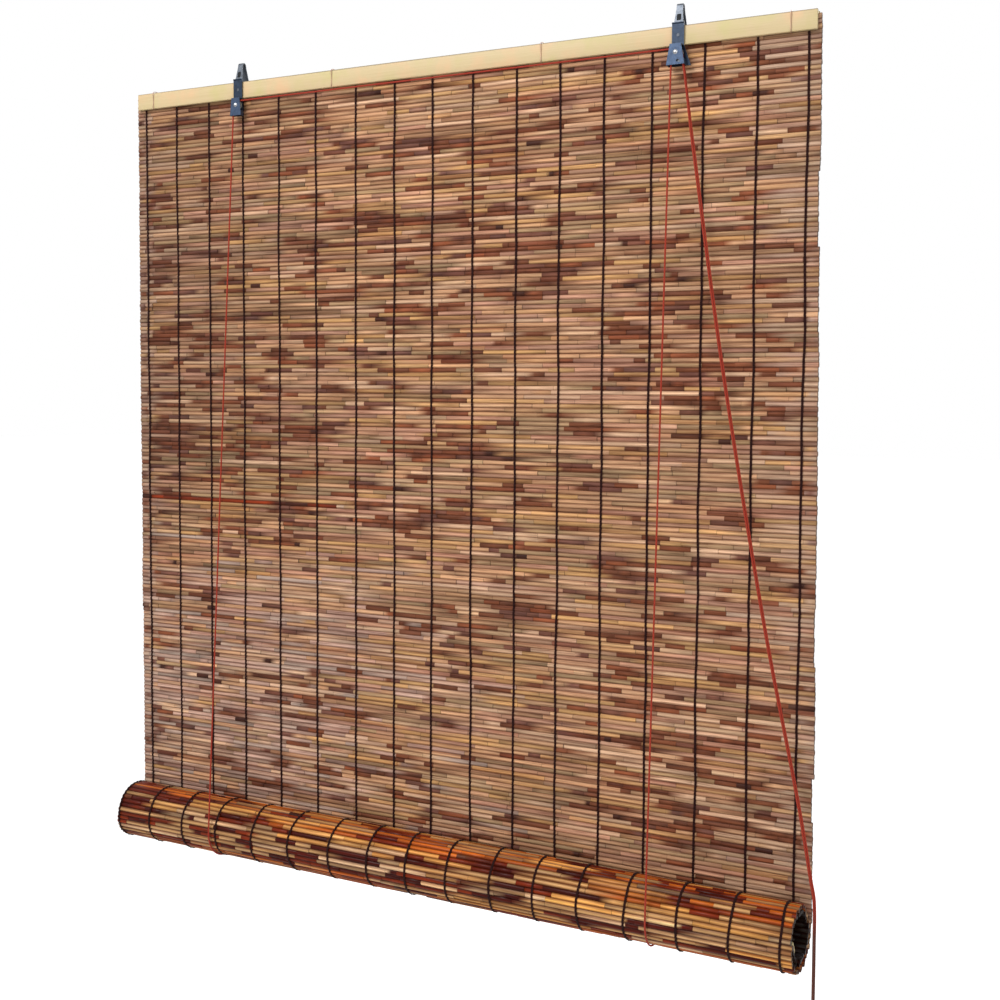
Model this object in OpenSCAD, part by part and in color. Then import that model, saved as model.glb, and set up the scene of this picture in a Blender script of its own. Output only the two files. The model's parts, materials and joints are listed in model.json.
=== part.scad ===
// Reed roller blind that hangs from two hooks and is rolled up by its cords.
// X runs along the battens, Y to the back, Z up. The origin lies midway between the hooks,
// on the axis of their saddles.

/* [Mat] */
// Width of the reed mat
mat_w = 1010; // [700:5:1600]
// Hanging height, from the battens' top edge to the roll's axis
mat_drop = 1074; // [700:1:1400]
// Diameter of a reed
reed_d = 6; // [5:0.1:7]
// Depth by which neighbouring reeds run into each other
reed_overlap = 0.2; // [0.1:0.05:0.5]
// Height of a see-through gap between two reeds
slit_h = 1; // [0.5:0.1:1.6]
// Length of a see-through gap
slit_l = 44; // [20:1:50]

/* [Warp strings] */
// Number of black strings across the mat
warp_count = 17; // [9:1:21]
// Distance of the outer strings from the mat's edge
warp_margin = 17; // [8:1:30]
// Width of a string
warp_w = 2.8; // [1.5:0.1:3]
// Thickness of a string
warp_t = 0.7; // [0.4:0.1:1]

/* [Roll] */
// Outer radius of the rolled mat
roll_r = 41; // [38:0.5:60]
// Number of turns in the roll
roll_turns = 2.5; // [2:0.25:3]
// Free space between two turns
turn_gap = 0.3; // [0.2:0.1:1]

/* [Battens] */
// Length of the battens
batten_w = 1000; // [700:5:1600]
// Height of the head battens
batten_h = 23; // [18:0.5:32]
// Thickness of every batten
batten_t = 5; // [3:0.5:7]
// Width of the battens' bevelled edges
batten_edge = 0.8; // [0.2:0.1:1.4]
// Height of the batten in the roll's core
bottom_batten_h = 20; // [12:1:24]
// Thickness of the wire ties
tie_wire = 0.9; // [0.6:0.1:1.5]
// Distance of the outer ties from the battens' ends
tie_inset = 30; // [15:1:60]

/* [Hooks] */
// Distance between the two hooks
hook_spread = 650; // [500:5:800]
// Distance of the hooks' middle to the right of the mat's middle
hook_shift = 11; // [-30:1:30]
// Height of the saddle axis above the battens
hook_rise = 24; // [18:1:40]
// Inner radius of the saddle
saddle_r = 3; // [2:0.25:4]
// Thickness of the hook strip
strip_t = 1.2; // [0.8:0.1:2]
// Width of the strip over the saddle
saddle_w = 8; // [6:0.5:12]
// Width of the strip along the battens
strip_w = 12; // [10:0.5:14]
// Length of the rear leg below the battens
tail_l = 11; // [9:0.5:16]
// Metal left below the rear cord's hole
tail_edge = 3.6; // [2:0.2:5]
// Radius of the rivets through the head
rivet_r = 2; // [1.5:0.1:2.5]
// Radius of these rivets' rear heads
rivet_head_r = 3.4; // [3:0.1:5]
// Height of these rivets' rear heads
rivet_head_h = 1; // [0.6:0.1:2]

/* [Pulley units] */
// Width of the front plates
plate_w = 15; // [13:0.5:18]
// Thickness of the front plates
plate_t = 1.2; // [0.8:0.1:2]
// Height of the plates above the battens
plate_rise = 3; // [1:0.5:6]
// Radius of the rolled edge on top of a plate
lip_r = 1; // [0.8:0.1:1.4]
// Sheet thickness of the covers
cover_t = 1; // [0.8:0.1:1.5]
// Height of the covers
cover_h = 25; // [23:0.5:32]
// Free height above the sheaves in a cover
cover_room = 1.8; // [1:0.1:3]
// Width of both covers at the top
cover_top_w = 14; // [13:0.5:16]
// Width of the pulley cover at the bottom
pulley_mouth_w = 19; // [18:0.5:24]
// Width of the lock cover at the bottom
lock_mouth_w = 23; // [22:0.5:28]
// Height of the axles below the battens' top edge
axle_drop = 34; // [33:0.5:36]
// Radius of the axles
axle_r = 1.5; // [1:0.1:2]
// Radius of an axle's domed head
head_r = 3; // [2.5:0.1:4]
// Height of an axle's domed head
head_h = 1.4; // [0.8:0.1:2]
// Radius of an axle's flat rear head
rear_head_r = 2.6; // [2.2:0.1:4]
// Height of an axle's flat rear head
rear_head_h = 0.8; // [0.5:0.1:1]
// Outer radius of a sheave
sheave_r = 7.2; // [7:0.1:7.6]
// Thickness of a sheave
sheave_t = 4.4; // [4:0.1:5]
// Radius at which a cord runs on a sheave
groove_r = 6; // [5.8:0.05:6.1]

/* [Lock] */
// Width by which the lock's plate stands out beside its cover
lock_wing = 5; // [0:0.5:8]
// Radius of the knurled roller
roller_r = 2.3; // [2:0.1:2.5]
// Radius of the roller's end pins
roller_pin_r = 1.2; // [0.8:0.1:1.4]
// Travel of the roller in its slots
roller_travel = 2.5; // [1.5:0.1:2.5]
// Slope of the slots
slot_angle = 30; // [20:1:40]
// Number of grooves round the roller
knurl_count = 12; // [8:1:16]
// Radius of a groove
knurl_r = 0.35; // [0.2:0.05:0.5]
// Height of the roller above the cover's lower edge
roller_lift = 1.2; // [0.8:0.1:2]
// Distance by which the cords lean to the right where the roller jams them
pinch_shift = 2.4; // [2:0.1:2.6]

/* [Cords] */
// Diameter of the cords
cord_d = 2.2; // [1.8:0.1:2.4]
// Radius of the knots behind the hooks
anchor_knot_r = 2.8; // [2.2:0.1:3.5]
// Radius of the knot at the end of the pull cord
pull_knot_r = 4.5; // [4:0.1:6]
// Length of the cord ends below that knot
knot_tail_l = 15; // [8:1:30]

/* [Clearances] */
// Gap between flat pieces that are clamped together
face_gap = 0.1; // [0.05:0.05:0.2]
// Gap beside pieces that turn or slide, and round a cord
run_gap = 0.3; // [0.2:0.05:0.4]
// Radial play of a wheel on its axle and of a pin in its slot
bore_gap = 0.08; // [0.05:0.01:0.1]
// Radial play of a fixed rivet in its hole
hole_gap = 0.05; // [0.02:0.01:0.1]

/* [Hidden] */
$fn = 48;
BIG = 4000;

cord_r = cord_d / 2;
reed_r = reed_d / 2;
reed_pitch = reed_d - reed_overlap;
mat_x = -hook_shift;

// Depths from the mat's middle to the faces of the head, plates, wheels and covers
batten_in = reed_r + face_gap;
batten_out = batten_in + batten_t;
hook_in = batten_out + face_gap;
hook_out = hook_in + strip_t;
plate_in = hook_out + face_gap;
plate_out = plate_in + plate_t;
rear_wheel_y = -(plate_out + run_gap + sheave_t / 2);
front_wheel_y = rear_wheel_y - sheave_t - run_gap;
pulley_depth = sheave_t + 2 * run_gap;
lock_depth = 2 * sheave_t + 3 * run_gap;

// Heights
batten_top = -hook_rise;
batten_bottom = batten_top - batten_h;
rivet_z = batten_top - batten_h / 2;
tail_end = batten_bottom - tail_l;
anchor_hole_r = cord_r + 2 * run_gap;
anchor_z = tail_end + anchor_hole_r + tail_edge;
axle_z = batten_top - axle_drop;
cover_top = axle_z + sheave_r + cover_room + cover_t;
cover_bottom = cover_top - cover_h;
window_z = axle_z - sheave_r - run_gap;
hook_x = hook_spread / 2;

// Roll: a spiral that starts at the mat's plane and runs down, forward and inward
turn_pitch = reed_d + turn_gap;
spiral_r = roll_r - reed_r;
roll_y = -spiral_r;
roll_z = batten_top - mat_drop;
spiral_end_r = spiral_r - roll_turns * turn_pitch;
spiral_l = PI * (pow(spiral_r, 2) - pow(spiral_end_r, 2)) / turn_pitch;
roll_lead = reed_overlap + run_gap;
function spiral_radius(s) = sqrt(pow(spiral_r, 2) - turn_pitch * s / PI);
function spiral_turn(r) = (spiral_r - r) * 360 / turn_pitch;
function on_roll(r, turn) = [roll_y + r * cos(turn), roll_z - r * sin(turn)];

// Rows of reeds and strings
top_inset = 2;
rows = floor((mat_drop - top_inset - reed_r) / reed_pitch);
slit_step = 2;
slit_bay_step = 5;
warp_pitch = (mat_w - 2 * warp_margin) / (warp_count - 1);
function row_z(i) = roll_z + i * reed_pitch;
function warp_x(i) = mat_x - mat_w / 2 + warp_margin + i * warp_pitch;
warp_clear = 16;
rolled_warp_turn = 330;
rolled_warp_steps = 30;
tie_count = 4;
tie_play = 1.1;
function tie_x(i) = mat_x + (batten_w - 2 * tie_inset) * (i / (tie_count - 1) - 0.5);

// Lift cords: from a sheave to the roll's front, under the roll and up behind the mat
sling_r = roll_r + run_gap + cord_r;
function sling_x(side) = side * hook_x - groove_r;
fall_start_z = axle_z - sheave_r;
wrap_step = 22.5;
function centre_distance(y) = norm([roll_y - y, roll_z - fall_start_z]);
function fall_lean(y) =
    atan2(y - roll_y, fall_start_z - roll_z) + asin(sling_r / centre_distance(y));
function fall_end(y) = [
    roll_y - sling_r * cos(fall_lean(y)),
    roll_z + sling_r * sin(fall_lean(y))
];
// Bend of a rear cord below its hole, as steps back and down from where it goes in
rear_bend = [[-2.9, -14], [-2.2, -4], [-1, -1.2]];

// Roller of the lock, which jams the pull cords against the cover's right wall
roller_z = cover_bottom + roller_r + roller_lift;
pinch_x = hook_x + groove_r + pinch_shift;
roller_x = pinch_x - cord_r - run_gap - roller_r;

// Route of the pull cord's pair of strands, from the lock past the roll's right end
strand_offset = 1.2;
pull_route = [
    [347, -16, -170], [388, -18, -440], [443, -22, -740], [488, -26, -950], [503, -29, -1030],
    [508, -31, -1055], [509, -32, -1110], [509, -32, -1180], [509, -32, -1238]
];
pull_knot_at = [509, -32, -1241];

// Sweeps a round section with few sides along a list of points
function tangent(path, i) =
    let (a = path[max(i - 1, 0)], b = path[min(i + 1, len(path) - 1)]) (b - a) / norm(b - a);
function ring(path, i, radius, side, sides) =
    let (
        t = tangent(path, i),
        u = cross(side, t) / norm(cross(side, t)),
        v = cross(t, u)
    )
    [for (k = [0:sides - 1])
        path[i] + radius * (cos(360 * k / sides) * u + sin(360 * k / sides) * v)];
module tube(path, side, radius = cord_r, sides = 8) {
    count = len(path);
    polyhedron(
        points = [for (i = [0:count - 1]) each ring(path, i, radius, side, sides)],
        faces = concat(
            [[for (k = [0:sides - 1]) k]],
            [for (i = [0:count - 2]) for (k = [0:sides - 1])
                let (next = (k + 1) % sides)
                [i * sides + k, (i + 1) * sides + k, (i + 1) * sides + next, i * sides + next]],
            [[for (k = [sides - 1:-1:0]) (count - 1) * sides + k]]
        )
    );
}

// Extrudes a section drawn in Y and Z along X
module along_x(length) {
    rotate([90, 0, 90]) linear_extrude(length, center = true) children();
}

// Extrudes an outline drawn in X and Z between two depths, the first further back
module along_y(from, to) {
    translate([0, from, 0]) rotate([90, 0, 0]) linear_extrude(from - to) children();
}

// Pin along Y between two depths
module pin_y(radius, x, z, from, to) {
    translate([x, from, z]) rotate([90, 0, 0]) cylinder(r = radius, h = from - to);
}

// Bamboo strip of a given height along X, with bevelled long edges
module batten_strip(height) {
    y = batten_t / 2;
    z = height / 2;
    flat_y = y - batten_edge;
    flat_z = z - batten_edge;
    along_x(batten_w) polygon([
        [-flat_y, -z], [flat_y, -z], [y, -flat_z], [y, flat_z],
        [flat_y, z], [-flat_y, z], [-y, flat_z], [-y, -flat_z]
    ]);
}

module head_batten(side) {
    difference() {
        translate([mat_x, side * (batten_in + batten_t / 2), (batten_top + batten_bottom) / 2])
            batten_strip(batten_h);
        for (x = [-hook_x, hook_x]) pin_y(rivet_r + hole_gap, x, rivet_z, BIG, -BIG);
    }
}

module front_head_batten() {
    color("wheat") head_batten(-1);
}

module rear_head_batten() {
    color("wheat") head_batten(1);
}

// Square gap where the reeds are parted for a rivet or a tie
module mat_gap(x, z, size) {
    translate([x, 0, z]) cube([size, 2 * reed_d, size], center = true);
}

// The hanging reeds as one ridged wall with see-through gaps
module hanging_reed_mat() {
    color("peru") difference() {
        translate([mat_x, 0, 0]) along_x(mat_w)
            for (i = [1:rows]) translate([0, row_z(i)]) circle(reed_r);
        for (i = [1:slit_step:rows - 1])
            let (bay = (i * slit_bay_step) % (warp_count - 1))
            translate([warp_x(bay) + warp_pitch / 2, 0, row_z(i + 0.5)])
                cube([slit_l, 2 * reed_d, slit_h], center = true);
        for (side = [-1, 1]) mat_gap(side * hook_x, rivet_z, 2 * (rivet_r + run_gap));
        for (i = [0:tie_count - 1])
            mat_gap(tie_x(i), batten_bottom - face_gap - tie_wire / 2, tie_wire + tie_play);
    }
}

// One string's flat run on one face of the mat
module warp_run(x, low, y) {
    translate([x - warp_w / 2, y, low])
        cube([warp_w, warp_t, batten_bottom - tie_wire - low]);
}

module hanging_warp_strings() {
    color("black") for (i = [0:warp_count - 1]) {
        warp_run(warp_x(i), roll_z + warp_clear, -reed_r - face_gap - warp_t);
        warp_run(warp_x(i), roll_z + reed_r, reed_r + face_gap);
    }
}

module batten_wire_ties() {
    inner = batten_out + face_gap;
    color("rosybrown") for (i = [0:tie_count - 1])
        translate([tie_x(i), 0, (batten_top + batten_bottom) / 2]) along_x(tie_wire)
            difference() {
                square([2 * (inner + tie_wire), batten_h + 2 * (face_gap + tie_wire)], center = true);
                square([2 * inner, batten_h + 2 * face_gap], center = true);
            }
}

// Filled section of a hook's outer or inner side: a round top with two spreading legs
module hook_side(radius, half_depth, slope, low) {
    shoulder_z = radius * sin(slope) - (half_depth - radius * cos(slope)) / tan(slope);
    circle(radius);
    polygon([
        [-radius * cos(slope), radius * sin(slope)], [-half_depth, shoulder_z], [-half_depth, low],
        [half_depth, low], [half_depth, shoulder_z], [radius * cos(slope), radius * sin(slope)]
    ]);
}

// Bent strip that straddles the head, narrow over the saddle, with a tail for the rear cord
module hanging_hook(x) {
    slope = atan2(hook_in, hook_rise) - asin(saddle_r / norm([hook_in, hook_rise]));
    front_end = batten_bottom + strip_t;
    neck_z = -saddle_r;
    translate([x, 0, 0]) difference() {
        along_x(strip_w) hook_side(saddle_r + strip_t, hook_out, slope, tail_end);
        along_x(2 * strip_w) hook_side(saddle_r, hook_in, slope, tail_end - strip_t);
        translate([-strip_w, -2 * hook_out, tail_end - strip_t])
            cube([2 * strip_w, 2 * hook_out, front_end - tail_end + strip_t]);
        for (side = [-1, 1])
            along_y(hook_rise, -hook_rise) polygon([
                [side * saddle_w / 2, hook_rise], [side * saddle_w / 2, neck_z],
                [side * strip_w / 2, batten_top], [side * strip_w, batten_top],
                [side * strip_w, hook_rise]
            ]);
        pin_y(rivet_r + hole_gap, 0, rivet_z, hook_rise, -hook_rise);
        pin_y(anchor_hole_r, 0, anchor_z, hook_rise, 0);
    }
}

module left_hanging_hook() {
    color("slategray") hanging_hook(-hook_x);
}

module right_hanging_hook() {
    color("slategray") hanging_hook(hook_x);
}

module hook_rivets() {
    seat = hook_out + face_gap;
    color("dimgray") for (side = [-1, 1]) {
        pin_y(rivet_r, side * hook_x, rivet_z, seat, -plate_out);
        pin_y(rivet_head_r, side * hook_x, rivet_z, seat + rivet_head_h, seat);
    }
}

// Outline of a plate, which spreads below like the cover on it, and further on the right
module plate_outline(mouth_w, wing) {
    polygon([
        [-plate_w / 2, batten_top + plate_rise], [plate_w / 2, batten_top + plate_rise],
        [plate_w / 2, cover_top], [mouth_w / 2 + wing, cover_bottom],
        [-mouth_w / 2, cover_bottom], [-plate_w / 2, cover_top]
    ]);
}

module front_plate(x, mouth_w, wing = 0) {
    translate([x, 0, 0]) difference() {
        union() {
            along_y(-plate_in, -plate_out) plate_outline(mouth_w, wing);
            translate([0, -plate_out, batten_top + plate_rise]) rotate([0, 90, 0])
                cylinder(r = lip_r, h = plate_w, center = true);
        }
        pin_y(axle_r + hole_gap, 0, axle_z, BIG, -BIG);
        pin_y(rivet_r + hole_gap, 0, rivet_z, BIG, -BIG);
    }
}

module left_pulley_plate() {
    color("midnightblue") front_plate(-hook_x, pulley_mouth_w);
}

module right_lock_plate() {
    color("midnightblue") difference() {
        front_plate(hook_x, lock_mouth_w, lock_wing);
        roller_slot();
    }
}

// Outline of a cover, drawn in by the sheet's thickness where asked
module cover_outline(mouth_w, inset, low) {
    polygon([
        [-cover_top_w / 2 + inset, cover_top - inset], [cover_top_w / 2 - inset, cover_top - inset],
        [mouth_w / 2 - inset, cover_bottom - low], [-mouth_w / 2 + inset, cover_bottom - low]
    ]);
}

// Pressed cover, open below for the cords and at the sides beside the sheave
module cover(x, mouth_w, depth) {
    back = -plate_out - face_gap;
    inner = -plate_out - depth;
    translate([x, 0, 0]) difference() {
        along_y(back, inner - cover_t) cover_outline(mouth_w, 0, 0);
        along_y(BIG, inner) cover_outline(mouth_w, cover_t, cover_t);
        translate([-mouth_w, inner, window_z])
            cube([2 * mouth_w, depth, cover_top - cover_t - window_z]);
        pin_y(axle_r + hole_gap, 0, axle_z, BIG, -BIG);
    }
}

module left_pulley_cover() {
    color("steelblue") cover(-hook_x, pulley_mouth_w, pulley_depth);
}

module right_lock_cover() {
    color("steelblue") difference() {
        cover(hook_x, lock_mouth_w, lock_depth);
        roller_slot();
    }
}

// Slot through the plate and the cover, in which the roller's pins slide
module roller_slot() {
    end_r = roller_pin_r + bore_gap;
    half_h = roller_pin_r + bore_gap / 2;
    translate([roller_x, 0, roller_z]) rotate([0, slot_angle, 0]) {
        for (x = [-roller_travel, 0]) pin_y(end_r, x, 0, 0, -2 * lock_depth - plate_out);
        translate([-roller_travel, -2 * lock_depth - plate_out, -half_h])
            cube([roller_travel, 2 * lock_depth + plate_out, 2 * half_h]);
    }
}

module lock_roller() {
    back = -plate_out - run_gap;
    front = -plate_out - lock_depth + run_gap;
    color("silver") {
        difference() {
            pin_y(roller_r, roller_x, roller_z, back, front);
            for (k = [0:knurl_count - 1])
                let (turn = 360 * k / knurl_count)
                pin_y(
                    knurl_r, roller_x + roller_r * cos(turn), roller_z + roller_r * sin(turn), BIG, -BIG
                );
        }
        pin_y(roller_pin_r, roller_x, roller_z, -plate_in, -plate_out - lock_depth - cover_t);
    }
}

// Wheel with a round groove for one cord
module sheave(x, y) {
    slot_r = cord_r + 2 * bore_gap;
    color("lightgray") translate([x, y, axle_z]) rotate([90, 0, 0]) rotate_extrude()
        difference() {
            translate([axle_r + bore_gap, -sheave_t / 2])
                square([sheave_r - axle_r - bore_gap, sheave_t]);
            translate([groove_r, 0]) circle(slot_r);
            translate([groove_r, -slot_r]) square([sheave_r, 2 * slot_r]);
        }
}

module left_sheave() {
    sheave(-hook_x, rear_wheel_y);
}

module right_rear_sheave() {
    sheave(hook_x, rear_wheel_y);
}

module right_front_sheave() {
    sheave(hook_x, front_wheel_y);
}

// Rivet through plate, sheaves and cover, with a domed head in front
module axle_rivet(x, depth) {
    front = -plate_out - depth - cover_t;
    dome_r = (pow(head_r, 2) + pow(head_h, 2)) / (2 * head_h);
    color("gainsboro") translate([x, 0, axle_z]) {
        pin_y(axle_r, 0, 0, -plate_in, front);
        pin_y(rear_head_r, 0, 0, -plate_in + rear_head_h, -plate_in);
        intersection() {
            translate([0, front + dome_r - head_h, 0]) sphere(dome_r);
            pin_y(head_r, 0, 0, front, front - 2 * head_h);
        }
    }
}

module left_axle_rivet() {
    axle_rivet(-hook_x, pulley_depth);
}

module right_axle_rivet() {
    axle_rivet(hook_x, lock_depth);
}

// Points on a sheave's groove between two angles, seen from the front
function wrap(x, y, from, to) =
    let (steps = ceil(abs(to - from) / wrap_step))
    [for (k = [0:steps])
        let (a = from + (to - from) * k / steps)
        [x + groove_r * cos(a), y, axle_z + groove_r * sin(a)]];

module crossing_cord() {
    color("firebrick") tube(
        concat(wrap(-hook_x, rear_wheel_y, 180, 90), wrap(hook_x, rear_wheel_y, 90, 0)),
        [0, 1, 0]
    );
}

// Front fall of a lift cord, from below the sheave down to the sling
function fall(side, y) = [
    [sling_x(side), y, fall_start_z],
    [sling_x(side), fall_end(y)[0], fall_end(y)[1]]
];

module left_lift_cord() {
    color("firebrick") tube(
        concat([[sling_x(-1), rear_wheel_y, axle_z]], fall(-1, rear_wheel_y)),
        [1, 0, 0]
    );
}

module right_lift_cord() {
    color("firebrick") tube(
        concat(wrap(hook_x, front_wheel_y, 0, 180), fall(1, front_wheel_y)),
        [0, 1, 0]
    );
}

// Loop of a lift cord under the roll, from the front fall to the rear one
module cord_sling(side, y) {
    sweep = 180 + fall_lean(y);
    color("firebrick") translate([sling_x(side), roll_y, roll_z])
        rotate([0, 90, 0]) rotate([0, 0, 90 - sweep])
            rotate_extrude(angle = sweep) translate([sling_r, 0]) circle(cord_r);
}

module left_cord_sling() {
    cord_sling(-1, rear_wheel_y);
}

module right_cord_sling() {
    cord_sling(1, front_wheel_y);
}

// Rear fall, up behind the mat and back through the hook's tail into the knot
module rear_cord(side) {
    foot = [sling_x(side), roll_y + sling_r, roll_z];
    knot_y = hook_out + face_gap + anchor_knot_r;
    color("firebrick") tube(
        concat(
            [foot, foot + [0, 0, sling_r]],
            [for (step = rear_bend) [side * hook_x, hook_in + step[0], anchor_z + step[1]]],
            [[side * hook_x, hook_in, anchor_z], [side * hook_x, knot_y, anchor_z]]
        ),
        [1, 0, 0]
    );
}

module left_rear_cord() {
    rear_cord(-1);
}

module right_rear_cord() {
    rear_cord(1);
}

module anchor_knots() {
    color("firebrick") for (side = [-1, 1])
        translate([side * hook_x, hook_out + face_gap + anchor_knot_r, anchor_z])
            sphere(anchor_knot_r);
}

// One strand of the pull cord, from its sheave through the lock to the knot
module pull_strand(y, shift) {
    color("firebrick") tube(
        concat(
            [[hook_x + groove_r, y, axle_z], [pinch_x, y, roller_z]],
            [for (p = pull_route) p + [shift, shift, 0]]
        ),
        [0, 1, 0]
    );
}

module pull_cord_rear_strand() {
    pull_strand(rear_wheel_y, strand_offset);
}

module pull_cord_front_strand() {
    pull_strand(front_wheel_y, -strand_offset);
}

module pull_cord_knot() {
    color("firebrick") translate(pull_knot_at) {
        sphere(pull_knot_r);
        for (shift = [-1, 1])
            translate([shift, shift, 0] * strand_offset - [0, 0, pull_knot_r + knot_tail_l])
                cylinder(r = cord_r, h = pull_knot_r + knot_tail_l);
    }
}

// The rolled reeds: one spiral wall of reeds round a hollow core
module rolled_reed_mat() {
    color("sienna") translate([mat_x, 0, 0]) along_x(mat_w)
        for (s = [roll_lead:reed_pitch:spiral_l])
            translate(on_roll(spiral_radius(s), spiral_turn(spiral_radius(s)))) circle(reed_r);
}

// Each string on the roll's outer turn
module rolled_warp_strings() {
    inner = reed_r + face_gap;
    step = rolled_warp_turn / rolled_warp_steps;
    function wound(k, lift) =
        on_roll((spiral_r - turn_pitch * k * step / 360 + lift) / cos(step / 2), k * step);
    color("black") for (i = [0:warp_count - 1]) translate([warp_x(i), 0, 0]) along_x(warp_w)
        polygon(concat(
            [for (k = [0:rolled_warp_steps]) wound(k, inner)],
            [for (k = [rolled_warp_steps:-1:0]) wound(k, inner + warp_t)]
        ));
}

// Strip at the mat's lower end: a chord of the innermost turn, with one corner on its last reed
module bottom_batten() {
    last_s = roll_lead + reed_pitch * floor((spiral_l - roll_lead) / reed_pitch);
    last_r = spiral_radius(last_s);
    corner_r = last_r - reed_r - run_gap;
    half_angle = asin(bottom_batten_h / 2 / corner_r);
    color("burlywood") translate([mat_x, roll_y, roll_z])
        rotate([half_angle - spiral_turn(last_r), 0, 0])
            translate([0, corner_r * cos(half_angle) - batten_t / 2, 0])
                batten_strip(bottom_batten_h);
}

front_head_batten();
rear_head_batten();
hanging_reed_mat();
hanging_warp_strings();
batten_wire_ties();
left_hanging_hook();
right_hanging_hook();
hook_rivets();
left_pulley_plate();
right_lock_plate();
left_pulley_cover();
right_lock_cover();
left_sheave();
right_rear_sheave();
right_front_sheave();
left_axle_rivet();
right_axle_rivet();
lock_roller();
crossing_cord();
left_lift_cord();
right_lift_cord();
left_cord_sling();
right_cord_sling();
left_rear_cord();
right_rear_cord();
anchor_knots();
pull_cord_rear_strand();
pull_cord_front_strand();
pull_cord_knot();
rolled_reed_mat();
rolled_warp_strings();
bottom_batten();
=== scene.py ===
"""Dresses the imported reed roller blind: reeds, strings, cords, battens and steel fittings."""

import json
import math

import bpy
import numpy as np
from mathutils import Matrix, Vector, noise


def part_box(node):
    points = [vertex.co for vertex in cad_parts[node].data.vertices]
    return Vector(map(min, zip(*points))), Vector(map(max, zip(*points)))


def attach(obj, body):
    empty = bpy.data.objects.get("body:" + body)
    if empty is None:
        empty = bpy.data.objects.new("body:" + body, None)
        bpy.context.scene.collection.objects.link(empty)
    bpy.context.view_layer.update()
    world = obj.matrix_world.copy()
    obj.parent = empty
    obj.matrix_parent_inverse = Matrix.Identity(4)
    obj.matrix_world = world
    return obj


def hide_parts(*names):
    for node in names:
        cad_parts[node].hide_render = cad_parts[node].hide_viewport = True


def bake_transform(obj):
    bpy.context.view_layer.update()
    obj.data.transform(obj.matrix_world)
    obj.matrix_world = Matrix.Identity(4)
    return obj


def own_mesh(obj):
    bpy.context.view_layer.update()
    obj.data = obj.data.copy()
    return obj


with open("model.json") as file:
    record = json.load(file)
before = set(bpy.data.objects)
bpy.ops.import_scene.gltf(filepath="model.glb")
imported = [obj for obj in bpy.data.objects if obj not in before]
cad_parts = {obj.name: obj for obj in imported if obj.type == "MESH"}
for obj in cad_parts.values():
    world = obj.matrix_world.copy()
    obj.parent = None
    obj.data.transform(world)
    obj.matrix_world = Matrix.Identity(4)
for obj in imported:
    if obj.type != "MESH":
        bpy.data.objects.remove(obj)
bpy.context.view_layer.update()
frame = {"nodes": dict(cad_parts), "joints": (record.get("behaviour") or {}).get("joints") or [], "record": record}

MM = 0.001
DRAW_SEED = 7
rng = np.random.default_rng(DRAW_SEED)


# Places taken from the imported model, in metres

def joint(name):
    return next(j for j in frame["joints"] if j["name"] == name)


BODY_OF = {
    node: body
    for body, members in frame["record"]["behaviour"]["bodies"].items()
    for node in members
}
MAT_LOW, MAT_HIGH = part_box("hanging_reed_mat")
BATTEN_LOW, BATTEN_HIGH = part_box("front_head_batten")
ROLL_Y, ROLL_Z = joint("roll_spin")["pos_m"][1:]
LIFT = joint("roll_lift")["range_m"][1]
AXLE_Z = joint("left_sheave_spin")["pos_m"][2]
HOOK_X = joint("right_front_sheave_spin")["pos_m"][0]
REAR_WHEEL_Y = joint("right_rear_sheave_spin")["pos_m"][1]
FRONT_WHEEL_Y = joint("right_front_sheave_spin")["pos_m"][1]

# Sizes of the reeds, the roll, the strings and the cords
REED_R = 3 * MM
REED_PITCH = 5.8 * MM
FIRST_ROW_Z = MAT_LOW[2] + REED_R
TURN_PITCH = 6.3 * MM
SPIRAL_R = -ROLL_Y
ROLL_TURNS = 2.5
STRING_COUNT = 17
STRING_MARGIN = 17 * MM
STRING_HALF_W = 1.6 * MM
STRING_HALF_T = 0.55 * MM
CORD_R = 1.1 * MM
GROOVE_R = 6 * MM
SHEAVE_R = 7.2 * MM
SLING_R = 42.4 * MM


# Camera at the photograph's place, in picture points, metres and degrees

IMAGE_PX = 1000
FOCAL_PX = 1203
CENTRE_PX = (488, 448)
SENSOR_MM = 36
CAMERA_AT = (0.753, -1.433, -0.458)
CAMERA_PITCH, CAMERA_ROLL, CAMERA_YAW = -2.94, -0.28, 25.5


def add_camera():
    data = bpy.data.cameras.new("photo_camera")
    data.sensor_width = SENSOR_MM
    data.lens = FOCAL_PX / IMAGE_PX * SENSOR_MM
    data.shift_x = (IMAGE_PX / 2 - CENTRE_PX[0]) / IMAGE_PX
    data.shift_y = (CENTRE_PX[1] - IMAGE_PX / 2) / IMAGE_PX
    camera = bpy.data.objects.new("photo_camera", data)
    camera.location = CAMERA_AT
    camera.rotation_euler = [
        math.radians(angle) for angle in (90 + CAMERA_PITCH, CAMERA_ROLL, CAMERA_YAW)
    ]
    bpy.context.scene.collection.objects.link(camera)
    bpy.context.scene.camera = camera


# Mesh helpers

# Degrees at which an edge gets rounded, and at which it stays sharp in the shading
ROUNDED_FROM = 40
SHARP_FITTING, SHARP_TUBE, SHARP_STEM = 35, 60, 50
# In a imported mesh, nearer points become one, and flatter edges in degrees are dissolved
WELD_GAP = 0.002 * MM
FLAT_WITHIN = 1
# Names of the map on tubes and of the colours on stems
TUBE_MAP = "length_and_turn"
STEM_COLOUR = "stem_colour"


def deselect():
    bpy.ops.object.select_all(action="DESELECT")


def make_active(obj):
    deselect()
    obj.select_set(True)
    bpy.context.view_layer.objects.active = obj


def mesh_object(name, points, faces):
    mesh = bpy.data.meshes.new(name)
    mesh.from_pydata(np.asarray(points).tolist(), [], faces)
    mesh.update()
    obj = bpy.data.objects.new(name, mesh)
    bpy.context.scene.collection.objects.link(obj)
    return obj


def smooth_by_angle(obj, degrees):
    make_active(obj)
    bpy.ops.object.shade_smooth_by_angle(angle=math.radians(degrees))


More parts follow.
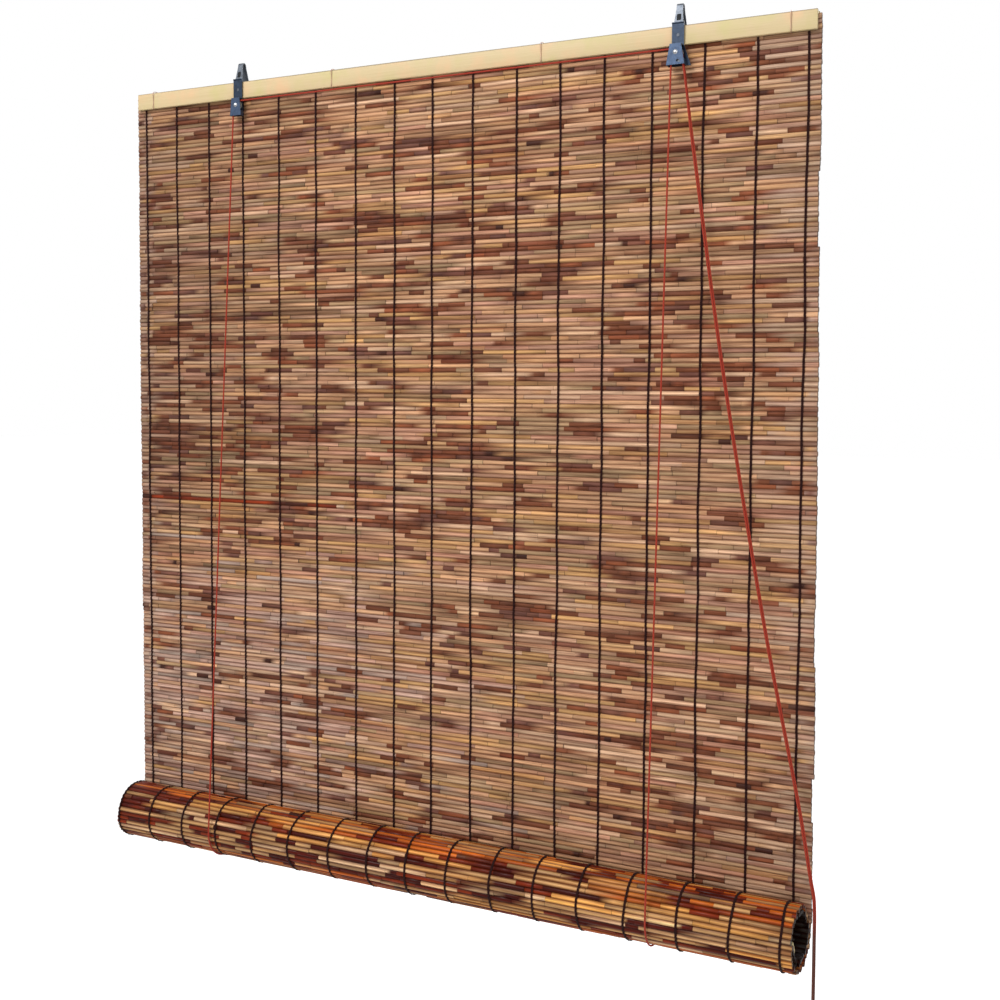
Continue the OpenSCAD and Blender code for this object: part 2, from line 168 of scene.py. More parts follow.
def apply_modifier(obj, kind, **settings):
    modifier = obj.modifiers.new(kind.lower(), kind)
    for key, value in settings.items():
        setattr(modifier, key, value)
    make_active(obj)
    bpy.ops.object.modifier_apply(modifier=modifier.name)


def round_edges(obj, width, segments):
    """Small round edges, with smooth shading between those that stay sharp."""
    apply_modifier(
        obj, "BEVEL", width=width, segments=segments, limit_method="ANGLE",
        angle_limit=math.radians(ROUNDED_FROM), use_clamp_overlap=True,
    )
    smooth_by_angle(obj, SHARP_FITTING)


def cut_across(places):
    """Cuts the active object across X at the given places."""
    bpy.ops.object.mode_set(mode="EDIT")
    for x in places:
        bpy.ops.mesh.select_all(action="SELECT")
        bpy.ops.mesh.bisect(plane_co=(x, 0, 0), plane_no=(1, 0, 0))
    bpy.ops.object.mode_set(mode="OBJECT")


def smooth_route(points, spacing):
    """Points on one smooth curve through the given ones, about spacing apart."""
    points = np.asarray(points, float)
    ends = np.vstack([2 * points[0] - points[1], points, 2 * points[-1] - points[-2]])
    route = []
    for before, a, b, after in zip(ends, ends[1:], ends[2:], ends[3:]):
        length = np.linalg.norm(b - a)
        reach_a = length / (np.linalg.norm(a - before) + length)
        reach_b = length / (np.linalg.norm(after - b) + length)
        for t in np.linspace(0, 1, max(2, math.ceil(length / spacing)), endpoint=False):
            h = [2 * t**3 - 3 * t**2 + 1, t**3 - 2 * t**2 + t, 3 * t**2 - 2 * t**3, t**3 - t**2]
            route.append(
                h[0] * a + h[1] * (b - before) * reach_a + h[2] * b + h[3] * (after - a) * reach_b
            )
    return np.array(route + [points[-1]])


def step_lengths(route):
    return np.linalg.norm(np.diff(route, axis=0), axis=1)


def route_frames(route, side):
    """Unit vectors across a route: from a fixed side, or carried along where side is None."""
    along = np.gradient(route, axis=0)
    along /= np.linalg.norm(along, axis=1)[:, None]
    if side is not None:
        u = np.cross(np.tile(side, (len(route), 1)), along)
        u /= np.linalg.norm(u, axis=1)[:, None]
    else:
        start = Vector(along[0]).orthogonal().normalized()
        u = [np.array(start)]
        for tangent in along[1:]:
            carried = u[-1] - tangent * np.dot(u[-1], tangent)
            u.append(carried / np.linalg.norm(carried))
        u = np.array(u)
    return u, np.cross(along, u)


def swept_tubes(name, routes, half_u, half_v, sides, side=None):
    """One mesh of round or flat tubes along several routes, with a UV map of length and turn."""
    points, faces, uv = [], [], []
    first = 0
    turns = np.arange(sides) * 2 * math.pi / sides
    for route in routes:
        u, v = route_frames(route, side)
        ring = (
            half_u * np.cos(turns)[None, :, None] * u[:, None, :]
            + half_v * np.sin(turns)[None, :, None] * v[:, None, :]
        )
        points.append((route[:, None, :] + ring).reshape(-1, 3))
        run = np.concatenate([[0], np.cumsum(step_lengths(route))])
        for i in range(len(route) - 1):
            for k in range(sides):
                a, b = first + i * sides + k, first + i * sides + (k + 1) % sides
                faces.append((a, b, b + sides, a + sides))
                low, high = k / sides, (k + 1) / sides
                uv += [(run[i], low), (run[i], high), (run[i + 1], high), (run[i + 1], low)]
        last = first + (len(route) - 1) * sides
        faces.append([first + k for k in reversed(range(sides))])
        faces.append([last + k for k in range(sides)])
        uv += [(0, 0)] * sides + [(run[-1], 0)] * sides
        first = last + sides
    obj = mesh_object(name, np.concatenate(points), faces)
    layer = obj.data.uv_layers.new(name=TUBE_MAP)
    layer.data.foreach_set("uv", np.array(uv, np.float32).ravel())
    smooth_by_angle(obj, SHARP_TUBE)
    return obj


def softened_copy(name, node, width, cutter=None, operation="DIFFERENCE"):
    """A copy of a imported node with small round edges, cut by a block where one is given."""
    obj = bpy.data.objects.new(name, frame["nodes"][node].data.copy())
    bpy.context.scene.collection.objects.link(obj)
    obj.data.materials.clear()
    make_active(obj)
    bpy.ops.object.mode_set(mode="EDIT")
    bpy.ops.mesh.select_all(action="SELECT")
    bpy.ops.mesh.remove_doubles(threshold=WELD_GAP)
    bpy.ops.mesh.dissolve_limited(angle_limit=math.radians(FLAT_WITHIN))
    bpy.ops.object.mode_set(mode="OBJECT")
    if cutter:
        apply_modifier(obj, "BOOLEAN", operation=operation, solver="EXACT", object=cutter)
        bpy.data.objects.remove(cutter)
    round_edges(obj, width, segments=2)
    apply_modifier(obj, "WEIGHTED_NORMAL", keep_sharp=True)
    return obj


# Shader helpers

def srgb(red, green, blue):
    def linear(c):
        return c / 12.92 if c <= 0.04045 else ((c + 0.055) / 1.055) ** 2.4

    return (linear(red), linear(green), linear(blue), 1)


def feed(tree, socket, value):
    """Links an input where its value is another node's output, and sets it otherwise."""
    if isinstance(value, bpy.types.NodeSocket):
        tree.links.new(value, socket)
    else:
        socket.default_value = value


def add_node(tree, kind, settings=(), **inputs):
    """Adds a node with its properties and inputs, which are named, or numbered as in i0."""
    shader_node = tree.nodes.new(kind)
    for key, value in dict(settings).items():
        setattr(shader_node, key, value)
    for key, value in inputs.items():
        socket = int(key[1:]) if key[1:].isdigit() else key.replace("_", " ")
        feed(tree, shader_node.inputs[socket], value)
    return shader_node


def math_node(tree, operation, a, b=0.0):
    return add_node(tree, "ShaderNodeMath", {"operation": operation}, i0=a, i1=b).outputs[0]


def mix_colour(tree, share, a, b, blend="MIX"):
    settings = {"data_type": "RGBA", "blend_type": blend}
    return add_node(tree, "ShaderNodeMix", settings, i0=share, i6=a, i7=b).outputs[2]


def scaled(tree, value, low, high):
    """A value from 0 to 1 carried over to the range from low to high."""
    return add_node(tree, "ShaderNodeMapRange", Value=value, To_Min=low, To_Max=high).outputs[0]


def ramp(tree, value, start, stop, top=1.0):
    """Nothing up to start, then rising evenly to top at stop."""
    return add_node(
        tree, "ShaderNodeMapRange", Value=value, From_Min=start, From_Max=stop, To_Max=top
    ).outputs[0]


def new_group(name, inputs, outputs):
    group = bpy.data.node_groups.new(name, "ShaderNodeTree")
    for socket, default in inputs.items():
        made = group.interface.new_socket(socket, in_out="INPUT", socket_type="NodeSocketFloat")
        made.default_value = default
    for socket in outputs:
        group.interface.new_socket(socket, in_out="OUTPUT", socket_type="NodeSocketFloat")
    return group, group.nodes.new("NodeGroupInput"), group.nodes.new("NodeGroupOutput")


def fibre_grain_group():
    """Streaks and blotches drawn out along X, as in a split stem."""
    group, given, out = new_group(
        "fibre_grain", {"Along": 12, "Across": 900}, ["Streak", "Blotch"]
    )
    place = add_node(group, "ShaderNodeTexCoord").outputs["Object"]
    stretch = add_node(
        group, "ShaderNodeCombineXYZ",
        X=given.outputs["Along"], Y=given.outputs["Across"], Z=given.outputs["Across"],
    ).outputs[0]
    drawn = add_node(
        group, "ShaderNodeVectorMath", {"operation": "MULTIPLY"}, i0=place, i1=stretch
    ).outputs[0]
    streak = add_node(
        group, "ShaderNodeTexNoise", Vector=drawn, Scale=1, Detail=4, Roughness=0.6
    )
    blotch = add_node(
        group, "ShaderNodeTexNoise", Vector=drawn, Scale=0.22, Detail=2, Roughness=0.5
    )
    group.links.new(streak.outputs["Fac"], out.inputs["Streak"])
    group.links.new(blotch.outputs["Fac"], out.inputs["Blotch"])
    return group


def cord_twist_group():
    """Ridges that wind round a cord or string, from its UV map of length and turn."""
    group, given, out = new_group("cord_twist", {"Turns": 160, "Plies": 2}, ["Ridge", "Fuzz"])
    uv = add_node(group, "ShaderNodeUVMap", {"uv_map": TUBE_MAP}).outputs[0]
    split = add_node(group, "ShaderNodeSeparateXYZ", Vector=uv)
    run = math_node(group, "MULTIPLY", split.outputs["X"], given.outputs["Turns"])
    turn = math_node(group, "MULTIPLY", split.outputs["Y"], given.outputs["Plies"])
    angle = math_node(group, "MULTIPLY", math_node(group, "ADD", run, turn), 2 * math.pi)
    ridge = scaled(group, math_node(group, "SINE", angle), 0.5, 1)
    place = add_node(group, "ShaderNodeTexCoord").outputs["Object"]
    fuzz = add_node(group, "ShaderNodeTexNoise", Vector=place, Scale=2500, Detail=3)
    group.links.new(ridge, out.inputs["Ridge"])
    group.links.new(fuzz.outputs["Fac"], out.inputs["Fuzz"])
    return group


def metal_wear_group():
    """Fine scuffs and cloudy patches on a metal surface."""
    group, given, out = new_group("metal_wear", {"Scale": 180}, ["Scuff", "Cloud"])
    place = add_node(group, "ShaderNodeTexCoord").outputs["Object"]
    scuff = add_node(
        group, "ShaderNodeTexNoise",
        Vector=place, Scale=given.outputs["Scale"], Detail=6, Roughness=0.7, Distortion=0.3,
    )
    cloud_scale = math_node(group, "MULTIPLY", given.outputs["Scale"], 0.3)
    cloud = add_node(group, "ShaderNodeTexNoise", Vector=place, Scale=cloud_scale, Detail=2)
    group.links.new(scuff.outputs["Fac"], out.inputs["Scuff"])
    group.links.new(cloud.outputs["Fac"], out.inputs["Cloud"])
    return group


FIBRE_GRAIN = fibre_grain_group()
CORD_TWIST = cord_twist_group()
METAL_WEAR = metal_wear_group()


# Finishes

def new_finish(name, **values):
    material = bpy.data.materials.new(name)
    material.use_nodes = True
    tree = material.node_tree
    shader = tree.nodes["Principled BSDF"]
    for key, value in values.items():
        shader.inputs[key.replace("_", " ")].default_value = value
    return material, tree, shader


def place_group(tree, group, **inputs):
    return add_node(tree, "ShaderNodeGroup", {"node_tree": group}, **inputs).outputs


def set_surface(tree, shader, colour, rough, height, depth, strength=0.6):
    """Feeds a finish its colour, its roughness and its relief of the given depth."""
    bump = add_node(tree, "ShaderNodeBump", Height=height, Strength=strength, Distance=depth)
    tree.links.new(colour, shader.inputs["Base Color"])
    tree.links.new(rough, shader.inputs["Roughness"])
    tree.links.new(bump.outputs[0], shader.inputs["Normal"])


# Dark fibres, pale fibres and ruddy stretches: where they start and are full, share and tint
REED_STAINS = [
    ("Streak", 0.5, 0.75, 0.75, srgb(0.52, 0.34, 0.26)),
    ("Streak", 0.48, 0.28, 0.6, (1.6, 1.55, 1.5, 1)),
    ("Blotch", 0.5, 0.72, 0.6, srgb(0.62, 0.38, 0.26)),
]


def reed_finish(name, low_rough, high_rough, **values):
    """Stained reed: each stem's own colour, with fibres and stretches of other tints."""
    material, tree, shader = new_finish(name, **values)
    grain = place_group(tree, FIBRE_GRAIN, Along=20, Across=620)
    colour = add_node(
        tree, "ShaderNodeAttribute", {"attribute_name": STEM_COLOUR}
    ).outputs["Color"]
    for mark, start, stop, top, tint in REED_STAINS:
        share = ramp(tree, grain[mark], start, stop, top)
        colour = mix_colour(tree, share, colour, tint, "MULTIPLY")
    rough = scaled(tree, grain["Streak"], low_rough, high_rough)
    set_surface(tree, shader, colour, rough, grain["Streak"], 0.25 * MM)
    return material


def string_finish():
    """Black twisted thread, with painted shade between its twists."""
    material, tree, shader = new_finish("black_string", Specular_IOR_Level=0.1, Sheen_Weight=0.03)
    twist = place_group(tree, CORD_TWIST, Turns=420)
    # Painted shade between the twists
    colour = mix_colour(tree, twist["Ridge"], srgb(0.07, 0.02, 0.02), srgb(0.17, 0.07, 0.06))
    rough = scaled(tree, twist["Fuzz"], 0.65, 0.95)
    set_surface(tree, shader, colour, rough, twist["Ridge"], 0.15 * MM)
    return material


# Lengths along the pull cord's tail at which it starts to turn brown and is all brown
BROWN_FROM, BROWN_TO = 30 * MM, 70 * MM


def cord_colour(tree, twist, shade, tone, worn):
    """Colour of a twisted cord: painted shade between its plies, and worn along their crests."""
    # Painted shade between the plies
    lit = mix_colour(tree, twist["Ridge"], shade, tone)
    return mix_colour(tree, scaled(tree, twist["Fuzz"], -0.2, 0.5), lit, worn)


def cord_finish(name, tones, end_tones=None):
    """Twisted cord of one colour, or of two where it changes along its first stretch."""
    material, tree, shader = new_finish(
        name, Specular_IOR_Level=0.2, Sheen_Weight=0.08, Sheen_Roughness=0.4
    )
    twist = place_group(tree, CORD_TWIST, Turns=230, Plies=3)
    colour = cord_colour(tree, twist, *tones)
    if end_tones:
        uv = add_node(tree, "ShaderNodeUVMap", {"uv_map": TUBE_MAP}).outputs[0]
        run = add_node(tree, "ShaderNodeSeparateXYZ", Vector=uv).outputs["X"]
        share = ramp(tree, run, BROWN_FROM, BROWN_TO)
        colour = mix_colour(tree, share, colour, cord_colour(tree, twist, *end_tones))
    rough = scaled(tree, twist["Fuzz"], 0.55, 0.85)
    set_surface(tree, shader, colour, rough, twist["Ridge"], 0.2 * MM)
    return material


# Greenish and ruddy clouds on the battens: where they start and are full, and their tone
BAMBOO_CLOUDS = [(0.52, 0.70, srgb(0.76, 0.72, 0.48)), (0.48, 0.30, srgb(0.87, 0.70, 0.54))]
# Depths below a batten's top between which its upper edge darkens
EDGE_LOW, EDGE_HIGH = 1.6 * MM, 0.5 * MM


def bamboo_finish():
    """Pale split bamboo: fine fibres, greenish and ruddy clouds, and a darker upper edge."""
    material, tree, shader = new_finish(
        "pale_bamboo", Specular_IOR_Level=0.3, Coat_Weight=0.05, Coat_Roughness=0.4
    )
    grain = place_group(tree, FIBRE_GRAIN, Along=9, Across=1600)
    colour = mix_colour(tree, grain["Streak"], srgb(0.73, 0.64, 0.46), srgb(0.86, 0.78, 0.62))
    place = add_node(tree, "ShaderNodeTexCoord").outputs["Object"]
    cloud = add_node(tree, "ShaderNodeTexNoise", Vector=place, Scale=26, Detail=3)
    for start, stop, tone in BAMBOO_CLOUDS:
        share = ramp(tree, cloud.outputs["Fac"], start, stop, 0.6)
        colour = mix_colour(tree, share, colour, tone)
    height = add_node(tree, "ShaderNodeSeparateXYZ", Vector=place).outputs["Z"]
    edge = ramp(tree, height, BATTEN_HIGH[2] - EDGE_LOW, BATTEN_HIGH[2] - EDGE_HIGH, 0.75)
    colour = mix_colour(tree, edge, colour, srgb(0.42, 0.38, 0.32))
    rough = scaled(tree, grain["Streak"], 0.4, 0.6)
    set_surface(tree, shader, colour, rough, grain["Streak"], 0.08 * MM)
    return material


def steel_finish(name, dark, bright, low_rough, high_rough, **values):
    """Sheet steel, rivet metal, wire or nylon, with scuffs between a dark and a bright tone."""
    material, tree, shader = new_finish(name, **values)
    wear = place_group(tree, METAL_WEAR)
    scuffed = scaled(tree, wear["Scuff"], -0.2, 0.9)
    colour = mix_colour(tree, scuffed, srgb(*dark), srgb(*bright))
    rough = scaled(tree, wear["Cloud"], low_rough, high_rough)
    set_surface(tree, shader, colour, rough, wear["Scuff"], 0.03 * MM, 0.3)
    return material


# Tones of a cord: painted shade between its plies, its tone on them, and where they are worn
RED_TONES = (srgb(0.38, 0.09, 0.06), srgb(0.70, 0.22, 0.14), srgb(0.58, 0.27, 0.20))
BROWN_TONES = (srgb(0.24, 0.12, 0.10), srgb(0.46, 0.27, 0.22), srgb(0.36, 0.24, 0.20))

HANGING_REED = reed_finish("hanging_reed", 0.5, 0.75, Specular_IOR_Level=0.2)
ROLLED_REED = reed_finish(
    "rolled_reed", 0.3, 0.5, Specular_IOR_Level=0.12, Coat_Weight=0.03, Coat_Roughness=0.2
)
BLACK_STRING = string_finish()
RED_CORD = cord_finish("red_cord", RED_TONES)
BROWN_CORD = cord_finish("brown_cord", BROWN_TONES)
TAIL_CORD = cord_finish("tail_cord", RED_TONES, BROWN_TONES)
PALE_BAMBOO = bamboo_finish()
BLUED_STEEL = steel_finish(
    "blued_steel", (0.05, 0.08, 0.13), (0.22, 0.29, 0.38), 0.25, 0.5,
    Metallic=0.7, Coat_Weight=0.15, Coat_Roughness=0.2,
)
COVER_STEEL = steel_finish(
    "cover_steel", (0.10, 0.15, 0.24), (0.31, 0.40, 0.52), 0.25, 0.5,
    Metallic=0.6, Coat_Weight=0.2, Coat_Roughness=0.2,
)
HOOK_STEEL = steel_finish(
    "hook_steel", (0.20, 0.22, 0.25), (0.48, 0.50, 0.53), 0.3, 0.55, Metallic=0.9
)
# Near-black finish of the pad in each hook's slot: painted shade
HOOK_SLOT_SHADE = steel_finish(
    "hook_pad", (0.04, 0.04, 0.05), (0.10, 0.11, 0.13), 0.5, 0.7, Specular_IOR_Level=0.2
)
BRIGHT_STEEL = steel_finish(
    "bright_steel", (0.62, 0.62, 0.63), (0.86, 0.86, 0.86), 0.2, 0.4, Metallic=1.0
)
WHEEL_NYLON = steel_finish("wheel_nylon", (0.55, 0.54, 0.50), (0.72, 0.71, 0.67), 0.45, 0.6)
TIE_WIRE = steel_finish(
    "tie_wire", (0.62, 0.46, 0.40), (0.80, 0.66, 0.58), 0.3, 0.45, Metallic=0.8
)


def finish_piece(obj, material, slot, *nodes, body=None):
    """Gives a piece its finish, hides the nodes that it replaces and attaches it to the body that it rides; slot
    is not used.
    """
    obj.data.materials.clear()
    obj.data.materials.append(material)
    if nodes:
        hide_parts(*nodes)
    if body:
        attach(obj, body)
    return obj


# Cords

CORD_SIDES = 10
FALL_STEPS, SLING_STEPS = 40, 40


def wheel_wrap(x, y, start, end, steps=8):
    """Points on a sheave's groove, seen from the front, between two angles in degrees."""
    angles = np.radians(np.linspace(start, end, steps + 1))
    return [(x + GROOVE_R * math.cos(a), y, AXLE_Z + GROOVE_R * math.sin(a)) for a in angles]


def front_fall(side, y):
    """Front fall of a lift cord: its top below the sheave, its foot on the roll, and its lean."""
    x = side * HOOK_X - GROOVE_R
    top_z = AXLE_Z - SHEAVE_R
    reach = math.hypot(ROLL_Y - y, ROLL_Z - top_z)
    lean = math.atan2(y - ROLL_Y, top_z - ROLL_Z) + math.asin(SLING_R / reach)
    foot = (x, ROLL_Y - SLING_R * math.cos(lean), ROLL_Z + SLING_R * math.sin(lean))
    return (x, y, top_z), foot, lean


def add_cord(name, route, nodes, side, finish=RED_CORD):
    """A cord tube along its route, with its finish, hiding the nodes that it replaces."""
    obj = swept_tubes(name, [route], CORD_R, CORD_R, CORD_SIDES, side)
    finish_piece(obj, finish, "cord", *nodes)
    return obj


def shorten_with_lift(obj):
    """Attaches a hanging cord to the head and gives it a mesh of its own."""
    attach(obj, "head")
    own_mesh(obj)


def add_lift_cords():
    for side, name, y in ((-1, "left", REAR_WHEEL_Y), (1, "right", FRONT_WHEEL_Y)):
        top, foot, lean = front_fall(side, y)
        fall = add_cord(
            name + "_front_fall", np.linspace(top, foot, FALL_STEPS), [name + "_lift_cord"],
            (1, 0, 0),
        )
        shorten_with_lift(fall)
        angles = np.linspace(math.pi - lean, 2 * math.pi, SLING_STEPS)
        loop = np.stack(
            [
                np.full(SLING_STEPS, top[0]),
                ROLL_Y + SLING_R * np.cos(angles),
                ROLL_Z + SLING_R * np.sin(angles),
            ],
            axis=1,
        )
        sling = add_cord(name + "_sling_loop", loop, [name + "_cord_sling"], (1, 0, 0))
        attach(sling, "sling")
        add_rear_cord(side, name)


# The rear cords' hole at the hook, how they bend into it, and how far they go through
TAIL_HOLE_Z = -52.7 * MM
HOOK_IN = 8.2 * MM
REAR_BEND = [(-2.9 * MM, -14 * MM), (-2.2 * MM, -4 * MM), (-1 * MM, -1.2 * MM)]
THROUGH_HOLE = 4 * MM


def add_rear_cord(side, name):
    x = side * HOOK_X
    foot = (x - GROOVE_R, ROLL_Y + SLING_R, ROLL_Z)
    points = [foot, (foot[0], foot[1], ROLL_Z + SLING_R)]
    points += [(x, HOOK_IN + back, TAIL_HOLE_Z + down) for back, down in REAR_BEND]
    points += [(x, HOOK_IN, TAIL_HOLE_Z), (x, HOOK_IN + THROUGH_HOLE, TAIL_HOLE_Z)]
    cord = add_cord(
        name + "_rear_fall", smooth_route(points, 25 * MM), [name + "_rear_cord"], (1, 0, 0)
    )
    shorten_with_lift(cord)


def add_crossing_cord():
    points = [front_fall(-1, REAR_WHEEL_Y)[0]]
    points += wheel_wrap(-HOOK_X, REAR_WHEEL_Y, 180, 90)
    points += wheel_wrap(HOOK_X, REAR_WHEEL_Y, 90, 0)
    cord = add_cord(
        "crossing_run", smooth_route(points, 30 * MM), ["crossing_cord"], (0, 1, 0)
    )
    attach(cord, "head")


# How far the pull cord's strands lie from their middle, and what share of it inside the lock
STRAND_SHIFT = 0.85 * MM
SHARE_IN_LOCK = (0.3, 1, 0)
# Middle of the strands: the pinch in X and Z, the lock's lower end, then, in millimetres, the run
# past the mat and the tail below the roll
PINCH = (333.4 * MM, -69.5 * MM)
LOCK_END = (337.5 * MM, -15.2 * MM, -100 * MM)
PULL_ROUTE = [
    (347, -16, -170), (388, -18, -440), (443, -22, -740), (488, -26, -950), (503, -29, -1030)
]
HANGING_ROUTE = [
    (503, -29, -1030), (508, -31, -1055), (509, -32, -1110), (509, -32, -1180), (509, -32, -1238)
]


def add_pull_cord():
    for name, y, sign in (("rear", REAR_WHEEL_Y, 1), ("front", FRONT_WHEEL_Y, -1)):
        shift = np.array((sign, sign, 0)) * STRAND_SHIFT
        turn_off = np.array(LOCK_END) + shift * SHARE_IN_LOCK
        inside = [(HOOK_X + GROOVE_R, y, AXLE_Z)]
        if name == "front":
            inside = [front_fall(1, y)[0]] + wheel_wrap(HOOK_X, y, 180, 0, 16)
        inside += [(PINCH[0], y, PINCH[1]), tuple(turn_off)]
        held = add_cord(
            f"pull_cord_{name}_lock_end", smooth_route(inside, 5 * MM), [], (0, 1, 0)
        )
        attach(held, "head")
        past = [turn_off] + [np.array(p) * MM + shift for p in PULL_ROUTE]
        run = add_cord(
            f"pull_cord_{name}_run", smooth_route(past, 15 * MM), [f"pull_cord_{name}_strand"],
            (0, 1, 0),
        )
        shorten_with_lift(run)
        below = [np.array(p) * MM + shift for p in HANGING_ROUTE]
        tail = add_cord(
            f"pull_cord_{name}_tail", smooth_route(below, 6 * MM), [], (0, 1, 0),
            TAIL_CORD,
        )
        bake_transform(tail)


# Knots, with the places of the pull cord's loose ends from its knot in millimetres
PULL_KNOT_AT = Vector((509, -32, -1241)) * MM
PULL_KNOT_R, ANCHOR_KNOT_R = 5.5 * MM, 3.2 * MM
LOOSE_END = [(1.2, 1.2, -2), (1.8, 1.2, -10), (1.4, 1.6, -19)]
ANCHOR_CORD_R, ANCHOR_SIDES = 0.95 * MM, 8
ANCHOR_BACK = 0.4 * MM
KNOT_DEPTH = 1.6


def trefoil(centre, radius, steps=72):
    """Route of an overhand knot that fits in a ball of the given radius."""
    t = np.linspace(0, 2 * math.pi, steps)
    shape = np.stack(
        [
            np.sin(t) + 2 * np.sin(2 * t),
            np.cos(t) - 2 * np.cos(2 * t),
            -np.sin(3 * t) * KNOT_DEPTH,
        ],
        axis=1,
    )
    return np.array(centre) + shape / 3 * (radius - CORD_R)


def add_knots():
    routes = [trefoil(PULL_KNOT_AT, PULL_KNOT_R)]
    for side in (-1, 1):
        loose = [PULL_KNOT_AT + Vector((side * x, side * y, z)) * MM for x, y, z in LOOSE_END]
        routes.append(smooth_route(loose, 3 * MM))
    pull = swept_tubes("pull_cord_end_knot", routes, CORD_R, CORD_R, CORD_SIDES)
    finish_piece(pull, BROWN_CORD, "cord", "pull_cord_knot", body="head")
    low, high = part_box("anchor_knots")
    y, z = (low[1] + high[1]) / 2 + ANCHOR_BACK, (low[2] + high[2]) / 2
    routes = [trefoil((side * HOOK_X, y, z), ANCHOR_KNOT_R, 48) for side in (-1, 1)]
    anchors = swept_tubes("rear_cord_knots", routes, ANCHOR_CORD_R, ANCHOR_CORD_R, ANCHOR_SIDES)
    finish_piece(anchors, RED_CORD, "cord", "anchor_knots", body="head")


# Reeds

# Stain tones, written as they look; CREAM and the roll's rim tones also stand for painted light
STRAW = (0.84, 0.69, 0.56)
TAN = (0.78, 0.60, 0.45)
ROSE_TAN = (0.75, 0.56, 0.46)
HONEY = (0.78, 0.60, 0.39)
OLIVE = (0.66, 0.54, 0.40)
ASH = (0.70, 0.61, 0.55)
BLUSH = (0.76, 0.62, 0.55)
RUSSET = (0.56, 0.31, 0.19)
UMBER = (0.47, 0.27, 0.17)
PLUM = (0.46, 0.30, 0.25)
CHAR = (0.24, 0.11, 0.06)
CREAM = (0.97, 0.80, 0.62)
GOLD = (0.94, 0.67, 0.35)
ORANGE = (0.80, 0.40, 0.12)
RUST = (0.52, 0.18, 0.04)
MAHOGANY = (0.29, 0.05, 0.0)
MAT_LIGHT = [STRAW, TAN, TAN, ROSE_TAN, HONEY, OLIVE]
MAT_DARK = [RUSSET, UMBER, UMBER, PLUM]
# Greyer tones painted where stronger frontal light falls on the lower mat: painted light
PAINTED_LIGHT_PALE = [STRAW, TAN, BLUSH, BLUSH, ASH]
PAINTED_LIGHT_DARK = [PLUM, PLUM, UMBER]
# The roll's palettes: CREAM stems on its front are painted highlights, and the rim palettes paint the light on its
# top and bottom
FRONT_LIGHT = [CREAM, GOLD, HONEY, HONEY, OLIVE]
FRONT_DARK = [MAHOGANY, MAHOGANY, RUST]
RIM_LIGHT = [GOLD, ORANGE, ORANGE, HONEY]
RIM_DARK = [RUST, RUST, MAHOGANY]
CHIP_DARK = [CHAR, UMBER]
DARK_ROW = [CHAR, RUST]
# Painted shade in the grooves between the reeds: its tone, how steeply it sets in, and how strong it is
MAT_GROOVE_SHADE = ((0.27, 0.11, 0.05), 3, (0.45, 0.95))
ROLL_GROOVE_SHADE = ((0.17, 0.02, 0.0), 2.5, (0.75, 1.0))

# The model of a stem has unit length and radius, with eased ends
STEM_SIDES = 8
STEM_CUTS = (-0.49, 0, 0.49)
END_FROM = 0.495
END_TAPER = 0.9
END_SHADE = 0.55
# A stem is a little flat, and it overlaps its neighbours
STEM_DEPTH = 0.9
STEM_HEIGHT = 1.12


def reed_stem():
    """Points and faces of the model of a stem along X."""
    deselect()
    bpy.ops.mesh.primitive_cylinder_add(
        vertices=STEM_SIDES, radius=1, depth=1, end_fill_type="NGON",
        rotation=(0, math.pi / 2, 0),
    )
    stem = bpy.context.object
    bpy.ops.object.transform_apply(location=False, rotation=True, scale=False)
    cut_across(STEM_CUTS)
    points = np.array([v.co for v in stem.data.vertices])
    faces = [list(f.vertices) for f in stem.data.polygons]
    points[np.abs(points[:, 0]) > END_FROM, 1:] *= END_TAPER
    bpy.data.objects.remove(stem)
    return points, faces


STEM_POINTS, STEM_FACES = reed_stem()
# Dark rings at the stems' cut ends
CUT_ENDS = np.where(np.abs(STEM_POINTS[:, 0]) > END_FROM, END_SHADE, 1)

# How rows are trimmed: rows that end level, and the share of the reach that each strays
LEVEL_ROWS = (5, 22)
TRIM_STRAY = 0.3
# How a stem's tones vary: share of a second tone, brightness, and brightness of its ends
SECOND_TONE = 0.4
BRIGHTNESS = (0.9, 1.1)
END_BRIGHTNESS = (0.8, 1.08)


def trimmed_ends(count, reach):
    """Uneven ends of the rows, which run level where several were trimmed together."""
    ends = []
    while len(ends) < count:
        ends += [rng.uniform(-reach, reach)] * int(rng.integers(*LEVEL_ROWS))
    return np.array(ends[:count]) + rng.uniform(-TRIM_STRAY, TRIM_STRAY, count) * reach


def stem_tones(palette):
    """Tones at a stem's start, middle and end, stained from one of the palette's colours."""
    main, second = (np.array(palette[k]) for k in rng.integers(len(palette), size=2))
    middle = (main + (second - main) * rng.uniform(0, SECOND_TONE)) * rng.uniform(*BRIGHTNESS)
    return [middle * rng.uniform(*END_BRIGHTNESS), middle, middle * rng.uniform(*END_BRIGHTNESS)]


# How a row is split into stems, with lengths in millimetres where no unit is given
ROW_HEIGHTS = (0.98, 1.06)
DARK_SHARE = 0.38
DARK_LENGTHS, LIGHT_LENGTHS = (14, 44), (24, 115)
CHIP_SHARE, CHIP_LENGTHS = 0.03, (8, 22)
CARRIED_TONE_SHARE = 0.4
SHORTEST = 4 * MM
LAP = 0.5 * MM
# Stems that end outside the outer strings, which are faded by up to a share
LEFT_STRAY, RIGHT_STRAY = (-4, 3), (-4, 2)
EDGE_FADE = 0.7
NEAR_EDGE = 1.6


def dark_patch(x, layer):
    """How much a place leans to dark stems: small patches on large ones."""
    small = noise.noise(Vector((x * 24, layer * 0.3, 0.5)))
    return small + 0.5 * noise.noise(Vector((x * 6, layer * 0.06, 7.5)))


